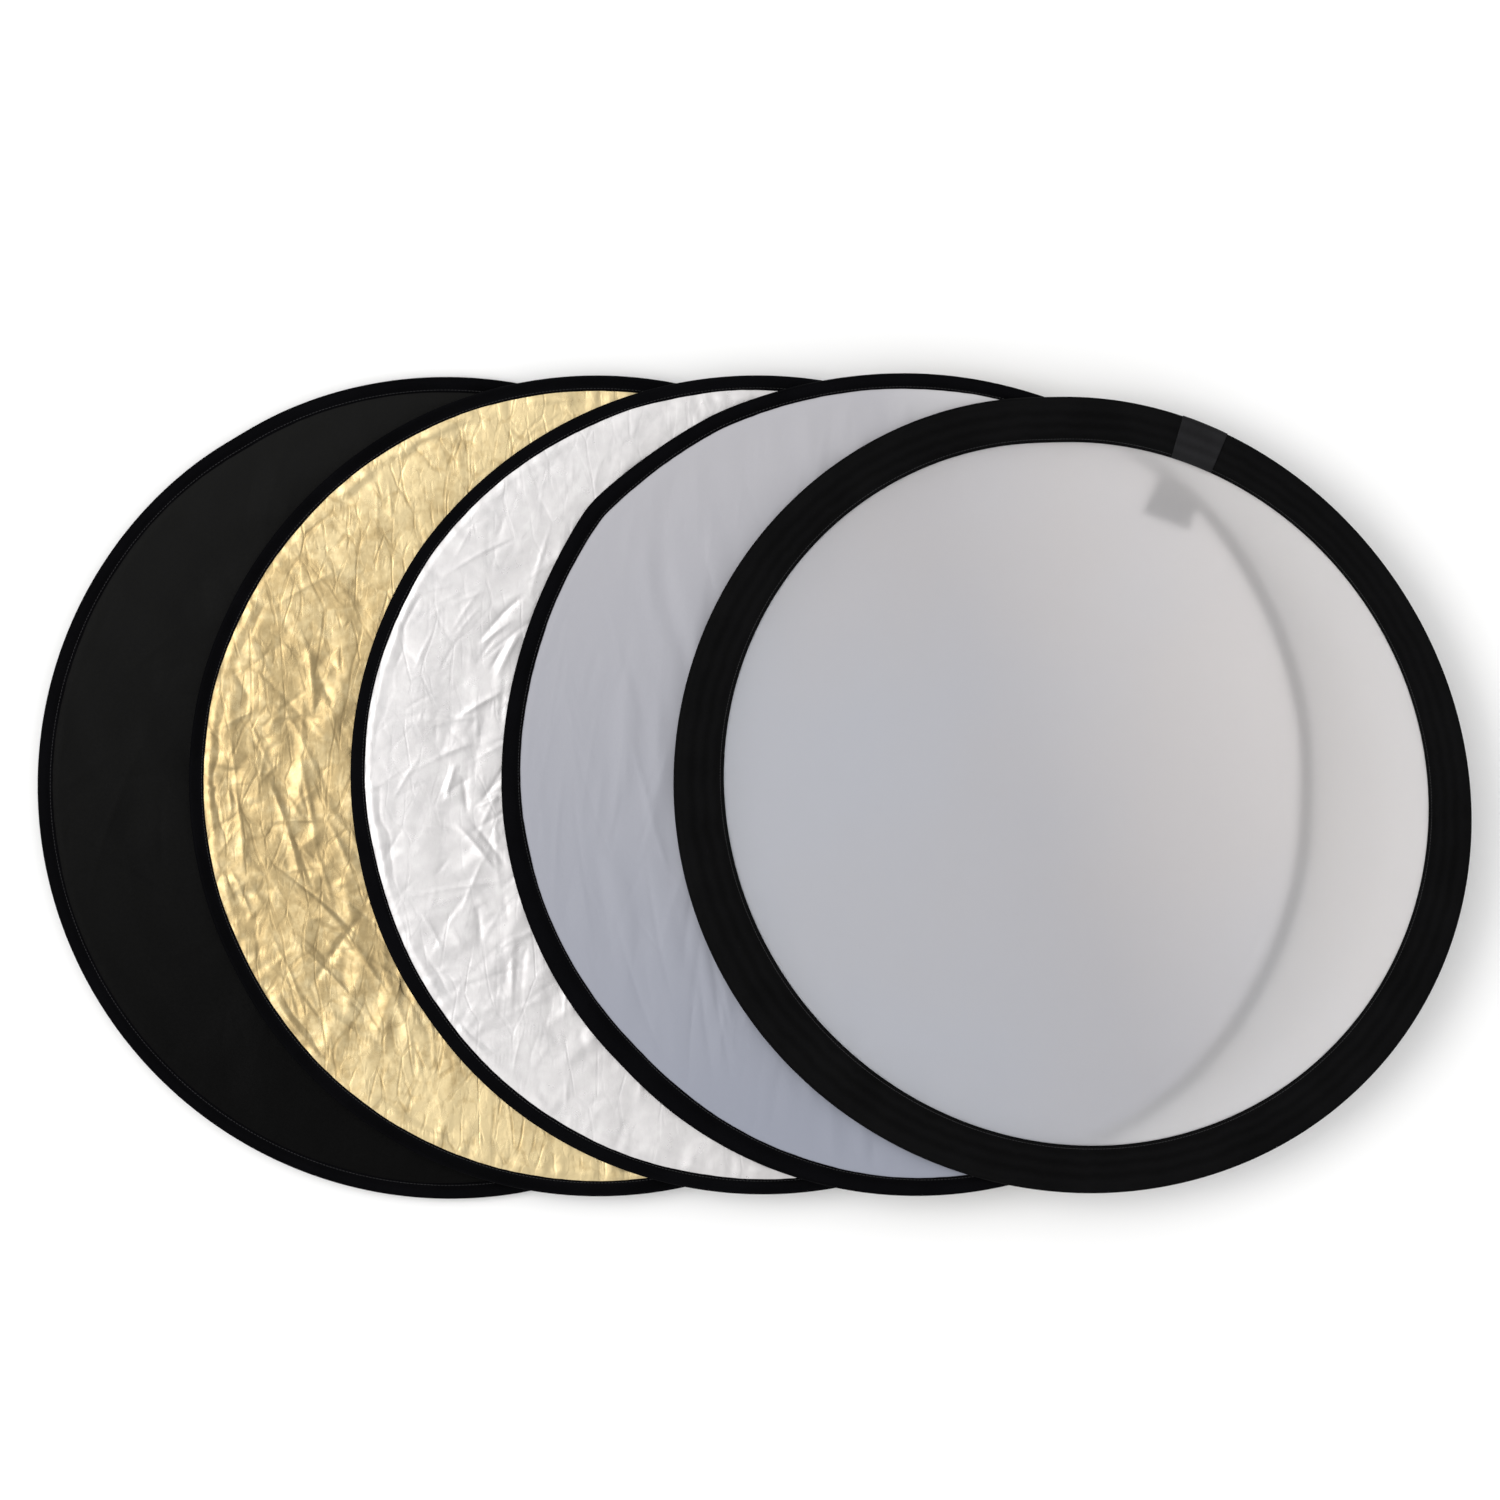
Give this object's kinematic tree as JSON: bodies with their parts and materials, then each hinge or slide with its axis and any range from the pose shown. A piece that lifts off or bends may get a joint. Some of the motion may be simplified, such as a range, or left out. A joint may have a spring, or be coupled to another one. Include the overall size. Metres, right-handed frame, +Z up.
{
  "type": "collapsible reflector disc set",
  "caption": "Round pop-up light reflectors with black, gold, silver, white and translucent faces, lying flat and fanned out in a row, each held taut by a sprung hoop.",
  "frame": {"origin": "centre of the fan's footprint, on the surface that the lowest disc lies on", "axes": "+Z up through the faces of the discs, +X along the fan from the lowest disc (black) to the top one (translucent)"},
  "size_m": [1.0499, 0.602, 0.0514],
  "materials": {
    "cloth_black": "matt black polyester taffeta",
    "cloth_gold": "gold metallised film on woven cloth, crinkled, glossy",
    "cloth_silver": "silver metallised film on woven cloth, crinkled, glossy",
    "cloth_white": "white coated taffeta, satin",
    "diffuser_cloth": "translucent white diffusion silk",
    "band_cloth": "black woven nylon",
    "binding_cloth": "black woven binding tape",
    "patch_cloth": "black woven patch, a shade lighter than the band",
    "zip_nylon": "black nylon coil",
    "zip_metal": "black enamelled die-cast zinc",
    "spring_steel": "blued spring strip",
    "ferrule_steel": "crimped steel sleeve"
  },
  "bodies": {
    "black_disc": {"black_hoop": "spring_steel", "black_hoop_ferrule": "ferrule_steel", "black_core_band": "band_cloth", "black_core_panel": "diffuser_cloth", "black_cover_face": "cloth_black", "black_cover_back": "cloth_silver", "black_binding_face": "binding_cloth", "black_binding_back": "binding_cloth", "black_zip_chain": "zip_nylon", "black_rim_strip": "binding_cloth", "black_zip_end_tab": "binding_cloth"},
    "black_slider": {"black_zip_slider": "zip_metal"},
    "black_pull": {"black_zip_pull": "zip_metal"},
    "gold_disc": {"gold_hoop": "spring_steel", "gold_hoop_ferrule": "ferrule_steel", "gold_core_band": "band_cloth", "gold_core_panel": "diffuser_cloth", "gold_cover_face": "cloth_gold", "gold_cover_back": "cloth_white", "gold_binding_face": "binding_cloth", "gold_binding_back": "binding_cloth", "gold_zip_chain": "zip_nylon", "gold_rim_strip": "binding_cloth", "gold_zip_end_tab": "binding_cloth"},
    "gold_slider": {"gold_zip_slider": "zip_metal"},
    "gold_pull": {"gold_zip_pull": "zip_metal"},
    "silver_disc": {"silver_hoop": "spring_steel", "silver_hoop_ferrule": "ferrule_steel", "silver_core_band": "band_cloth", "silver_core_panel": "diffuser_cloth", "silver_cover_face": "cloth_silver", "silver_cover_back": "cloth_black", "silver_binding_face": "binding_cloth", "silver_binding_back": "binding_cloth", "silver_zip_chain": "zip_nylon", "silver_rim_strip": "binding_cloth", "silver_zip_end_tab": "binding_cloth"},
    "silver_slider": {"silver_zip_slider": "zip_metal"},
    "silver_pull": {"silver_zip_pull": "zip_metal"},
    "white_disc": {"white_hoop": "spring_steel", "white_hoop_ferrule": "ferrule_steel", "white_core_band": "band_cloth", "white_core_panel": "diffuser_cloth", "white_cover_face": "cloth_white", "white_cover_back": "cloth_gold", "white_binding_face": "binding_cloth", "white_binding_back": "binding_cloth", "white_zip_chain": "zip_nylon", "white_rim_strip": "binding_cloth", "white_zip_end_tab": "binding_cloth"},
    "white_slider": {"white_zip_slider": "zip_metal"},
    "white_pull": {"white_zip_pull": "zip_metal"},
    "diffuser_disc": {"diffuser_hoop": "spring_steel", "diffuser_hoop_ferrule": "ferrule_steel", "diffuser_core_band": "band_cloth", "diffuser_core_panel": "diffuser_cloth", "diffuser_joint_patch": "patch_cloth"}
  },
  "joints": [
    {"name": "gold_fan_slide", "type": "slide", "parent": "black_disc", "child": "gold_disc", "axis": [1, 0, 0], "range_m": [-0.11, 0.04]},
    {"name": "silver_fan_slide", "type": "slide", "parent": "gold_disc", "child": "silver_disc", "axis": [1, 0, 0], "range_m": [-0.119, 0.04]},
    {"name": "white_fan_slide", "type": "slide", "parent": "silver_disc", "child": "white_disc", "axis": [1, 0, 0], "range_m": [-0.112, 0.04]},
    {"name": "diffuser_fan_slide", "type": "slide", "parent": "white_disc", "child": "diffuser_disc", "axis": [1, 0, 0], "range_m": [-0.118, 0.04]},
    {"name": "black_zip_travel", "type": "hinge", "parent": "black_disc", "child": "black_slider", "pos_m": [-0.225, -0.001, 0.005], "axis": [0, 0, 1], "range_deg": [0, 252]},
    {"name": "black_pull_swing", "type": "hinge", "parent": "black_slider", "child": "black_pull", "pos_m": [-0.04549, 0.24248, 0.005], "axis": [0, 0, -1], "range_deg": [0, 176]},
    {"name": "gold_zip_travel", "type": "hinge", "parent": "gold_disc", "child": "gold_slider", "pos_m": [-0.115, 0.0005, 0.016], "axis": [0, 0, 1], "range_deg": [0, 252]},
    {"name": "gold_pull_swing", "type": "hinge", "parent": "gold_slider", "child": "gold_pull", "pos_m": [0.06451, 0.24398, 0.016], "axis": [0, 0, -1], "range_deg": [0, 176]},
    {"name": "silver_zip_travel", "type": "hinge", "parent": "silver_disc", "child": "silver_slider", "pos_m": [0.004, 0.001, 0.027], "axis": [0, 0, 1], "range_deg": [0, 252]},
    {"name": "silver_pull_swing", "type": "hinge", "parent": "silver_slider", "child": "silver_pull", "pos_m": [0.18351, 0.24448, 0.027], "axis": [0, 0, -1], "range_deg": [0, 176]},
    {"name": "white_zip_travel", "type": "hinge", "parent": "white_disc", "child": "white_slider", "pos_m": [0.116, 0.0005, 0.038], "axis": [0, 0, 1], "range_deg": [0, 252]},
    {"name": "white_pull_swing", "type": "hinge", "parent": "white_slider", "child": "white_pull", "pos_m": [0.29551, 0.24398, 0.038], "axis": [0, 0, -1], "range_deg": [0, 176]}
  ]
}
